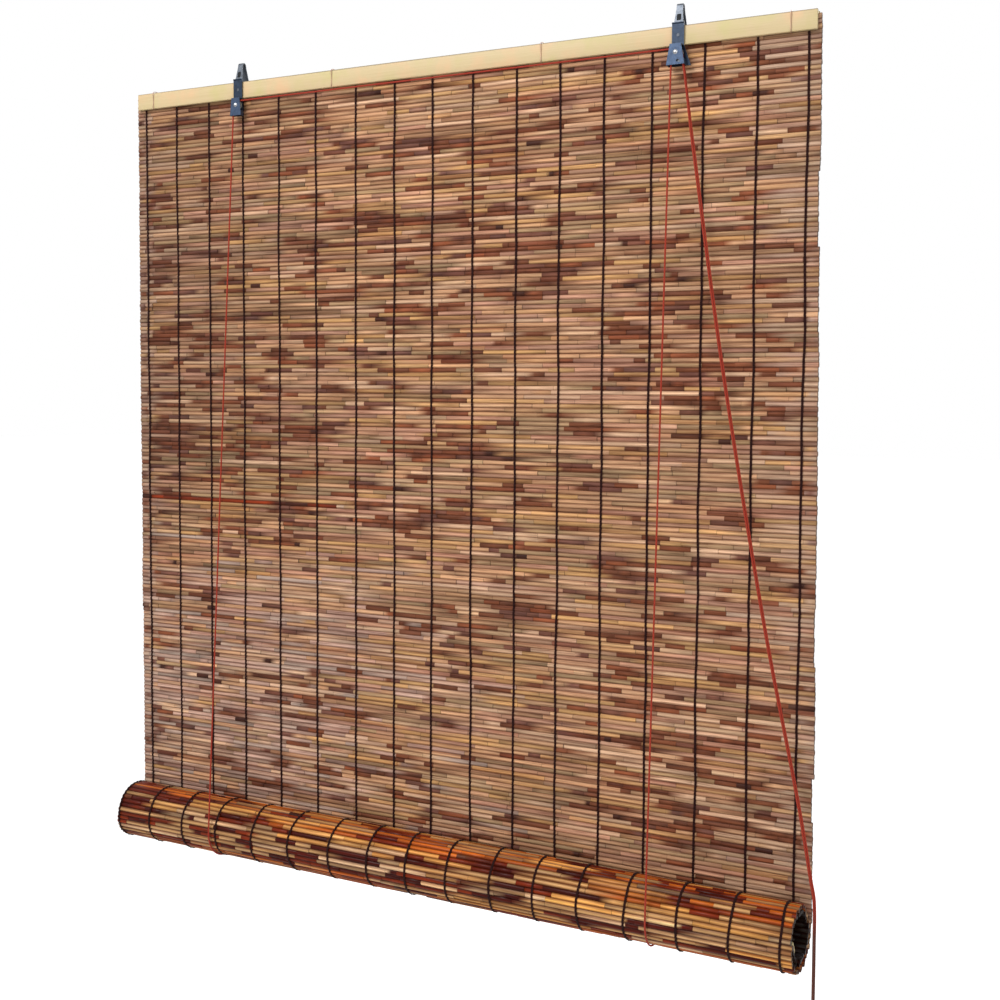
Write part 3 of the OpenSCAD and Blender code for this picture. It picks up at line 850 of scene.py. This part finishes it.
def row_of_stems(left, right, place, layer, tones_for, margin=0.0, cluster=0.5):
    """Splits one row into stems: their ends, place, height and tones."""
    stems = []
    x = left
    height = REED_R * STEM_HEIGHT * rng.uniform(*ROW_HEIGHTS)
    before = None
    while x < right - SHORTEST:
        dark = rng.random() < DARK_SHARE + cluster * dark_patch(x, layer)
        length = rng.uniform(*(DARK_LENGTHS if dark else LIGHT_LENGTHS)) * MM
        tones = tones_for(x, dark)
        if rng.random() < CHIP_SHARE:
            length, tones = rng.uniform(*CHIP_LENGTHS) * MM, stem_tones(CHIP_DARK)
        end = min(x + length, right)
        if margin and (x < left + margin or end > right - margin):
            end = right
            if x < left + margin:
                end = min(x + margin + rng.uniform(*LEFT_STRAY) * MM, right)
            tones = [tone + (np.array(ASH) - tone) * rng.uniform(0, EDGE_FADE) for tone in tones]
        elif margin and end > right - NEAR_EDGE * margin:
            end = right - margin + rng.uniform(*RIGHT_STRAY) * MM
        if before is not None and rng.random() < CARRIED_TONE_SHARE:
            tones[0] = before
        before = tones[-1]
        stems.append((x, end, place, height, tones))
        x = end - LAP
    return stems


# How far stems stand out, bow outwards, shift and bow upwards, and tilt, in millimetres
STAND_OUT = (-0.6, 0.5)
BOW_OUT = 0.3
SHIFT_UP = 0.12
TILT_UP = 0.2


def either_way(reach):
    """A random length of up to reach millimetres, one way or the other."""
    return rng.uniform(-reach, reach) * MM


def lay_stems(name, stems, material, groove, steepness, shades):
    """One mesh of all the stems, each bent a little, with its own colours and painted shade in its grooves."""
    groove_shade = np.abs(STEM_POINTS[:, 2]) ** steepness
    points, colours, faces = [], [], []
    count = len(STEM_POINTS)
    share = STEM_POINTS[:, 0] + 0.5
    bow = np.sin(share * math.pi)
    for index, (start, end, (y, z, turn), height, tones) in enumerate(stems):
        out = rng.uniform(*STAND_OUT) * MM + bow * either_way(BOW_OUT)
        shift = either_way(SHIFT_UP) + bow * either_way(SHIFT_UP)
        shift = shift + (share - 0.5) * either_way(TILT_UP)
        across = STEM_POINTS[:, 1] * REED_R * STEM_DEPTH + out
        up = STEM_POINTS[:, 2] * height + shift
        points.append(
            np.stack(
                [
                    start + share * (end - start),
                    y + across * math.cos(turn) + up * math.sin(turn),
                    z - across * math.sin(turn) + up * math.cos(turn),
                ],
                axis=1,
            )
        )
        keys = np.array(tones)
        tint = np.stack([np.interp(share, (0, 0.5, 1), keys[:, k]) for k in range(3)], axis=1)
        # Painted shade: each stem's colour is drawn towards the groove tone at its top and bottom, where it meets
        # its neighbours
        shade = rng.uniform(*shades) * groove_shade
        tint += (np.array(groove) - tint) * shade[:, None]
        tint *= CUT_ENDS[:, None]
        colours.append([srgb(*tone) for tone in np.clip(tint, 0, 1)])
        faces += [[index * count + v for v in face] for face in STEM_FACES]
    obj = mesh_object(name, np.concatenate(points), faces)
    attribute = obj.data.color_attributes.new(STEM_COLOUR, "FLOAT_COLOR", "POINT")
    attribute.data.foreach_set("color", np.array(colours, np.float32).ravel())
    smooth_by_angle(obj, SHARP_STEM)
    return finish_piece(obj, material, "reed")


# The mat's rows above this height stay when the roll has climbed as far as it goes
STAYING_Z = ROLL_Z + LIFT
MIDDLE_Z = (STAYING_Z + ROLL_Z) / 2
# How unevenly the mat's sides are trimmed, how far its right side is in, and the lower rows' reach
LEFT_TRIM, RIGHT_TRIM = 0.8 * MM, 1.4 * MM
RIGHT_IN = 2 * MM
MAT_FLARE = 8 * MM
# One row is dark from the left edge to this place
DARK_ROW_Z, DARK_ROW_END = -0.629, -0.165
# Stems between the mat's side and its outer string
EDGE_MARGIN = STRING_MARGIN - 2 * MM
# Share of dark stems among those painted greyer for frontal light
PAINTED_LIGHT_DARK_SHARE = 0.35
# Most painted shade, which darkens the mat towards its upper left
MOST_PAINTED_LEFT_SHADE = 0.16


def painted_light_share(x, z):
    """Share of stems painted greyer for the stronger frontal light low on the mat, as painted light, which grows
    downwards and to the left.
    """
    return min(0.1 - 5.0 * (z + 0.70), 0.35 - 1.9 * (x + 0.1), 0.93)


def painted_left_shade(x, z):
    """How much darker the tones are painted, as painted shade for the weaker light there, which grows upwards and
    to the left.
    """
    return MOST_PAINTED_LEFT_SHADE * max(0, -x - 0.15) / 0.36 * min(1, max(0, (z + 0.75) / 0.2))


def mat_tones(z):
    """Tones for a row of the mat: painted shade darker towards the upper left, and greyer stems of painted light
    near the lower left corner.
    """

    def tones_for(x, dark):
        # Greyer stems painted for stronger frontal light: painted light
        if rng.random() < painted_light_share(x, z):
            dark = dark and rng.random() < PAINTED_LIGHT_DARK_SHARE
            tones = stem_tones(PAINTED_LIGHT_DARK if dark else PAINTED_LIGHT_PALE)
        else:
            tones = stem_tones(MAT_DARK if dark else MAT_LIGHT)
        # Painted shade, darker towards the upper left
        return [tone * (1 - painted_left_shade(x, z)) for tone in tones]

    return tones_for


def gather_with_lift(obj):
    """Gives a lower piece of the mat a mesh of its own."""
    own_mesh(obj)


def add_hanging_reeds():
    rows = round((MAT_HIGH[2] - MAT_LOW[2] - 2 * REED_R) / REED_PITCH) + 1
    lefts = MAT_LOW[0] + trimmed_ends(rows, LEFT_TRIM)
    flare = np.linspace(MAT_FLARE, 0, rows)
    rights = MAT_HIGH[0] - RIGHT_IN + flare + trimmed_ends(rows, RIGHT_TRIM)
    staying, middle, lowest = [], [], []
    for i in range(rows):
        z = FIRST_ROW_Z + i * REED_PITCH
        left = lefts[i]
        stems = []
        if abs(z - DARK_ROW_Z) < REED_PITCH / 2:
            stems = row_of_stems(
                left, DARK_ROW_END, (0, z, 0), i, lambda x, dark: stem_tones(DARK_ROW)
            )
            left = DARK_ROW_END
        stems += row_of_stems(left, rights[i], (0, z, 0), i, mat_tones(z), EDGE_MARGIN)
        (staying if z > STAYING_Z else middle if z > MIDDLE_Z else lowest).extend(stems)
    for name, stems in (
        ("upper_hanging_reeds", staying), ("middle_hanging_reeds", middle),
        ("lower_hanging_reeds", lowest),
    ):
        piece = lay_stems(name, stems, HANGING_REED, *MAT_GROOVE_SHADE)
        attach(piece, "head")
        if stems is staying:
            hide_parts("hanging_reed_mat")
        else:
            gather_with_lift(piece)


# Length along the spiral of the roll's first reed
FIRST_RUN = 0.5 * MM
# The roll's rows take other dark patches than the mat's rows, and weaker ones
ROLL_LAYER = 300
ROLL_CLUSTER = 0.15
ROLL_LEFT_TRIM, ROLL_RIGHT_TRIM = 1 * MM, 2.5 * MM
# The roll was wound askew: its front and top start further in, its back ends further out
ROLL_IN, ROLL_IN_AT_TOP = 13, 3
ROLL_OUT_AT_BACK = 4 * MM
# How far the reeds stand out all round after the first quarter turn, and more below
ROUND_SWELL, LOW_SWELL = 1.8 * MM, 0.6 * MM
# Painted shade on the inner turns of the roll, by which their tones are multiplied
INSIDE_SHADE = 0.15


def spiral_run(radius):
    """Length along the spiral from its start to the given radius."""
    return math.pi * (SPIRAL_R**2 - radius**2) / TURN_PITCH


def spiral_radius(run):
    return math.sqrt(SPIRAL_R**2 - TURN_PITCH * run / math.pi)


def on_spiral(radius, turn, lift):
    """Place in Y and Z on the roll, for the spiral's radius and its turn in radians."""
    return (
        ROLL_Y + (radius + lift) * math.cos(turn),
        ROLL_Z - (radius + lift) * math.sin(turn),
    )


def roll_tones(rise, inside):
    """Tones for a row of the roll: orange near its top and bottom as painted light, darker to the left and inside
    as painted shade.
    """

    def tones_for(x, dark):
        # More dark stems towards the left end: painted shade
        dark = dark or rng.random() < 0.12 + max(0, -x - 0.3)
        # Rim tones near the top and bottom: painted light
        if rng.random() < 2.4 * abs(rise) - 1:
            tones = stem_tones(RIM_DARK if dark else RIM_LIGHT)
        else:
            tones = stem_tones(FRONT_DARK if dark else FRONT_LIGHT)
        # Painted shade inside the roll
        return [tone * INSIDE_SHADE for tone in tones] if inside else tones

    return tones_for


def roll_swell(turn):
    """How far the roll's reeds stand out to the cords that carry it, most of all below."""
    return ROUND_SWELL * min(1, 2 * turn / math.pi) + LOW_SWELL * max(0, math.sin(turn))


def add_rolled_reeds():
    stems = []
    runs = np.arange(FIRST_RUN, spiral_run(SPIRAL_R - ROLL_TURNS * TURN_PITCH), REED_PITCH)
    lefts = MAT_LOW[0] + trimmed_ends(len(runs), ROLL_LEFT_TRIM)
    rights = MAT_HIGH[0] + trimmed_ends(len(runs), ROLL_RIGHT_TRIM)
    for i, run in enumerate(runs):
        radius = spiral_radius(run)
        turn = (SPIRAL_R - radius) / TURN_PITCH * 2 * math.pi
        y, z = on_spiral(radius, turn, roll_swell(turn))
        rise = (z - ROLL_Z) / SPIRAL_R
        left = lefts[i] + (ROLL_IN + ROLL_IN_AT_TOP * rise) * MM
        right = rights[i] + ROLL_OUT_AT_BACK * (y - ROLL_Y) / SPIRAL_R
        stems += row_of_stems(
            left, right, (y, z, turn), ROLL_LAYER + i, roll_tones(rise, turn > 2 * math.pi),
            cluster=ROLL_CLUSTER,
        )
    roll = lay_stems("rolled_reeds", stems, ROLLED_REED, *ROLL_GROOVE_SHADE)
    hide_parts("rolled_reed_mat")
    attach(roll, "roll")


# Strings

STRING_SIDES = 6
# How far each string was tied from its even place, in millimetres
STRING_STRAY = [0, -4, -6, -6, -5, -3, 1, 1, -2, -3, -1, -2, -3, -3, 1, 4, 2]
# How strings wander: difference between strings, pace along them, layer, reach in millimetres
SLOW_WANDER, QUICK_WANDER = (7.3, 9, 0, 1.6), (3.1, 60, 5, 0.5)
ROLLED_WANDER = (5.7, 0.9, 9, 2.2)
# Depth of the strings between the reeds, and how far they rise over each
SUNK = 0.3 * MM
HANGING_RISE, ROLLED_RISE = 0.85 * MM, 0.8 * MM
# Faces of the mat: their side, where the strings end above the roll's axis, points for each reed
STRING_FACES = [("front", -1, 17 * MM, 4), ("back", 1, 3 * MM, 3)]
BELOW_BATTEN = 0.5 * MM
# Degrees that the strings go round the roll, and their points
ROLLED_DEGREES, ROLLED_STEPS = 330, 160


def string_x(i):
    first, last = MAT_LOW[0] + STRING_MARGIN, MAT_HIGH[0] - STRING_MARGIN
    return first + (last - first) * i / (STRING_COUNT - 1) + STRING_STRAY[i] * MM


def wander(i, place, difference, pace, layer, reach):
    """How far a string is off to one side at a place along it."""
    return noise.noise(Vector((i * difference, place * pace, layer))) * reach * MM


def over_reeds(run):
    """How high a string is over the reeds, from 0 between two of them to 1 on top of one."""
    return 0.5 + 0.5 * np.cos(run / REED_PITCH * 2 * math.pi)


def string_route(i, top, low, face, per_reed):
    """A string that rises over each reed and wanders a little, on the front or the back."""
    z = np.linspace(top, low, int((top - low) / REED_PITCH * per_reed))
    depth = REED_R - SUNK + over_reeds(z - FIRST_ROW_Z) * HANGING_RISE
    off = [wander(i, height, *SLOW_WANDER) + wander(i, height, *QUICK_WANDER) for height in z]
    return np.stack([string_x(i) + np.array(off), face * depth, z], axis=1)


def add_strings(name, routes, *nodes, body):
    obj = swept_tubes(name, routes, STRING_HALF_T, STRING_HALF_W, STRING_SIDES, (1, 0, 0))
    return finish_piece(obj, BLACK_STRING, "string", *nodes, body=body)


def add_hanging_strings():
    top = BATTEN_LOW[2] - BELOW_BATTEN
    for name, face, above_roll, per_reed in STRING_FACES:
        for part, high, low, nodes in (
            ("upper", top, STAYING_Z, ["hanging_warp_strings"]),
            ("lower", STAYING_Z, ROLL_Z + above_roll, []),
        ):
            routes = [string_route(i, high, low, face, per_reed) for i in range(STRING_COUNT)]
            obj = add_strings(f"{part}_{name}_strings", routes, *nodes, body="head")
            if part == "lower":
                gather_with_lift(obj)


def add_rolled_strings():
    routes = []
    turns = np.radians(np.linspace(0, ROLLED_DEGREES, ROLLED_STEPS))
    for i in range(STRING_COUNT):
        route = []
        for turn in turns:
            radius = SPIRAL_R - TURN_PITCH * turn / (2 * math.pi)
            rise = over_reeds(spiral_run(radius) - FIRST_RUN) * ROLLED_RISE
            y, z = on_spiral(radius, turn, roll_swell(turn) + REED_R - SUNK + rise)
            route.append((string_x(i) + wander(i, turn, *ROLLED_WANDER), y, z))
        routes.append(np.array(route))
    add_strings("rolled_strings", routes, "rolled_warp_strings", body="roll")


# Battens and ties

# Each head batten with the layer of its waves
HEAD_BATTENS = [("front_head_batten", 2), ("rear_head_batten", 11)]
BATTEN_STEPS = 42
BATTEN_WAVE = 0.5 * MM
HEAD_EDGE, BOTTOM_EDGE = 0.7 * MM, 0.6 * MM
TIE_COUNT = 4
TIE_INSET = 30 * MM
TIE_SIDES = 8
# How far a tie leans to the right at the middle of its back and below
TIE_LEAN, TIE_LEAN_BELOW = 0.6 * MM, 0.9 * MM
WIRE_R = 0.45 * MM


def add_head_battens():
    for node, layer in HEAD_BATTENS:
        low, high = (np.array(corner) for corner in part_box(node))
        deselect()
        bpy.ops.mesh.primitive_cube_add(size=1, location=tuple((low + high) / 2))
        batten = bpy.context.object
        batten.name = node.replace("head", "dressed_head")
        batten.scale = tuple(high - low)
        bpy.ops.object.transform_apply(location=True, rotation=True, scale=True)
        cut_across(np.linspace(low[0], high[0], BATTEN_STEPS)[1:-1])
        for vertex in batten.data.vertices:
            wave = noise.noise(Vector((vertex.co.x * 4, layer, vertex.co.z * 20)))
            vertex.co.z += wave * BATTEN_WAVE
        round_edges(batten, HEAD_EDGE, segments=3)
        finish_piece(batten, PALE_BAMBOO, "bamboo", node, body="head")


def add_bottom_batten():
    seated = softened_copy("bottom_batten_dressed", "bottom_batten", BOTTOM_EDGE)
    finish_piece(seated, PALE_BAMBOO, "bamboo", "bottom_batten", body="roll")


def add_wire_ties():
    low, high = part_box("batten_wire_ties")
    y0, y1 = low[1] + WIRE_R, high[1] - WIRE_R
    z0, z1 = low[2] + WIRE_R, high[2] - WIRE_R
    routes = []
    for x in np.linspace(BATTEN_LOW[0] + TIE_INSET, BATTEN_HIGH[0] - TIE_INSET, TIE_COUNT):
        corners = [
            (x, 0, z0), (x, y0, z0), (x, y0, (z0 + z1) / 2), (x, y0, z1), (x, y1, z1),
            (x + TIE_LEAN, y1, (z0 + z1) / 2), (x + TIE_LEAN_BELOW, y1, z0),
            (x + TIE_LEAN_BELOW, 0, z0),
        ]
        routes.append(smooth_route(corners, 1.2 * MM))
    ties = swept_tubes("wire_tie_loops", routes, WIRE_R, WIRE_R, TIE_SIDES, (1, 0, 0))
    finish_piece(ties, TIE_WIRE, "tie_wire", "batten_wire_ties", body="head")


# Steel fittings

# Each node with its finish, its slot and the width of its round edges in millimetres
FITTINGS = [
    ("left_hanging_hook", HOOK_STEEL, "hook_steel", 0.3),
    ("right_hanging_hook", HOOK_STEEL, "hook_steel", 0.3),
    ("hook_rivets", HOOK_STEEL, "rivet_steel", 0.25),
    ("left_pulley_plate", BLUED_STEEL, "blued_steel", 0.25),
    ("right_lock_plate", BLUED_STEEL, "blued_steel", 0.25),
    ("left_pulley_cover", COVER_STEEL, "blued_steel", 0.3),
    ("right_lock_cover", COVER_STEEL, "blued_steel", 0.3),
    ("left_sheave", WHEEL_NYLON, "sheave", 0.15),
    ("right_rear_sheave", WHEEL_NYLON, "sheave", 0.15),
    ("right_front_sheave", WHEEL_NYLON, "sheave", 0.15),
    ("left_axle_rivet", BRIGHT_STEEL, "rivet_steel", 0.2),
    ("right_axle_rivet", BRIGHT_STEEL, "rivet_steel", 0.2),
    ("lock_roller", HOOK_STEEL, "rivet_steel", 0.08),
]
# The slot pressed through each hook's front leg, just above its plate
SLOT_WIDTH, SLOT_LOW, SLOT_HIGH = 5.4 * MM, -17.5 * MM, -9.5 * MM
SLOT_FRONT, SLOT_BACK = -30 * MM, -2 * MM
SLOT_CORNER = 1 * MM
# The dark pad of painted shade in the slot: the gap round it, its depth below the strip's face, and its edges
PAD_GAP, PAD_DEPTH, PAD_EDGE = 0.12 * MM, 0.3 * MM, 0.1 * MM


def slot_cutter(x, gap=0.0):
    """A round-cornered block as large as the slot, less a gap all round."""
    deselect()
    bpy.ops.mesh.primitive_cube_add(
        size=1,
        location=(x, (SLOT_FRONT + SLOT_BACK) / 2, (SLOT_LOW + SLOT_HIGH) / 2),
        scale=(SLOT_WIDTH - 2 * gap, SLOT_BACK - SLOT_FRONT, SLOT_HIGH - SLOT_LOW - 2 * gap),
    )
    cutter = bpy.context.object
    bpy.ops.object.transform_apply(location=True, scale=True)
    apply_modifier(cutter, "BEVEL", width=SLOT_CORNER, segments=3)
    return cutter


def add_hook_slot_shade(name, node, x):
    """The dark pad that fills a hook's slot as painted shade, a little below the strip's face."""
    pad = softened_copy(name, node, PAD_EDGE, slot_cutter(x, PAD_GAP), "INTERSECT")
    bpy.ops.transform.translate(value=(0, PAD_DEPTH, 0))
    bpy.ops.object.transform_apply(location=True)
    finish_piece(pad, HOOK_SLOT_SHADE, "blued_steel", body=BODY_OF[node])


def add_fittings():
    for node, material, slot, edge in FITTINGS:
        cutter = None
        if node.endswith("hanging_hook"):
            side = node.split("_")[0]
            x = -HOOK_X if side == "left" else HOOK_X
            cutter = slot_cutter(x)
            # Each slot is filled by a dark pad of painted shade
            add_hook_slot_shade(side + "_hook_pad", node, x)
        piece = softened_copy(node + "_dressed", node, edge * MM, cutter)
        finish_piece(piece, material, slot, node, body=BODY_OF[node])


# Floor and light

FLOOR_Z, FLOOR_SIZE = -2.2, 60
# Brightness of the floor's own light, which the camera alone sees, and of the sky as a light
FLOOR_GLOW = 0.58
SKY_LIGHT = 0.46
WHITE = (1, 1, 1, 1)
FLOOR_GREY = (0.92, 0.92, 0.92, 1)
# Each light with its place in metres and its power in watts
LIGHTS = [
    ("key_light", (-0.8, -2.4, 1.7), 85),
    ("fill_light", (2.2, -2.2, -0.2), 16),
    ("back_light", (0.5, 2.8, 0.9), 45),
]
LIGHT_SIZE = 1.6
LIGHT_AIM = Vector((0, 0, -0.6))


def add_floor():
    deselect()
    bpy.ops.mesh.primitive_plane_add(size=FLOOR_SIZE, location=(0, 0, FLOOR_Z))
    floor = bpy.context.object
    floor.name = "pale_floor"
    material, tree, shader = new_finish(
        "pale_floor", Base_Color=FLOOR_GREY, Roughness=0.9, Emission_Color=WHITE
    )
    rays = add_node(tree, "ShaderNodeLightPath").outputs
    seen = math_node(tree, "MULTIPLY", rays["Is Camera Ray"], FLOOR_GLOW)
    tree.links.new(seen, shader.inputs["Emission Strength"])
    floor.data.materials.append(material)


def add_sky():
    """A white sky, which gives less light than the camera, gloss and glass see of it."""
    world = bpy.data.worlds.new("studio")
    bpy.context.scene.world = world
    world.use_nodes = True
    tree = world.node_tree
    tree.nodes.clear()
    rays = add_node(tree, "ShaderNodeLightPath").outputs
    seen = math_node(tree, "MAXIMUM", rays["Is Camera Ray"], rays["Is Glossy Ray"])
    seen = math_node(tree, "MAXIMUM", seen, rays["Is Transmission Ray"])
    strength = scaled(tree, seen, SKY_LIGHT, 1.0)
    background = add_node(tree, "ShaderNodeBackground", Color=WHITE, Strength=strength)
    output = tree.nodes.new("ShaderNodeOutputWorld")
    tree.links.new(background.outputs[0], output.inputs["Surface"])


def add_lights():
    for name, place, power in LIGHTS:
        data = bpy.data.lights.new(name, "AREA")
        data.size = LIGHT_SIZE
        data.energy = power
        lamp = bpy.data.objects.new(name, data)
        lamp.location = place
        aim = LIGHT_AIM - Vector(place)
        lamp.rotation_euler = aim.to_track_quat("-Z", "Y").to_euler()
        bpy.context.scene.collection.objects.link(lamp)
    bpy.context.scene.view_settings.view_transform = "Standard"


add_camera()
add_crossing_cord()
add_lift_cords()
add_pull_cord()
add_knots()
add_hanging_reeds()
add_rolled_reeds()
add_hanging_strings()
add_rolled_strings()
add_head_battens()
add_bottom_batten()
add_wire_ties()
add_fittings()
add_floor()
add_sky()
add_lights()
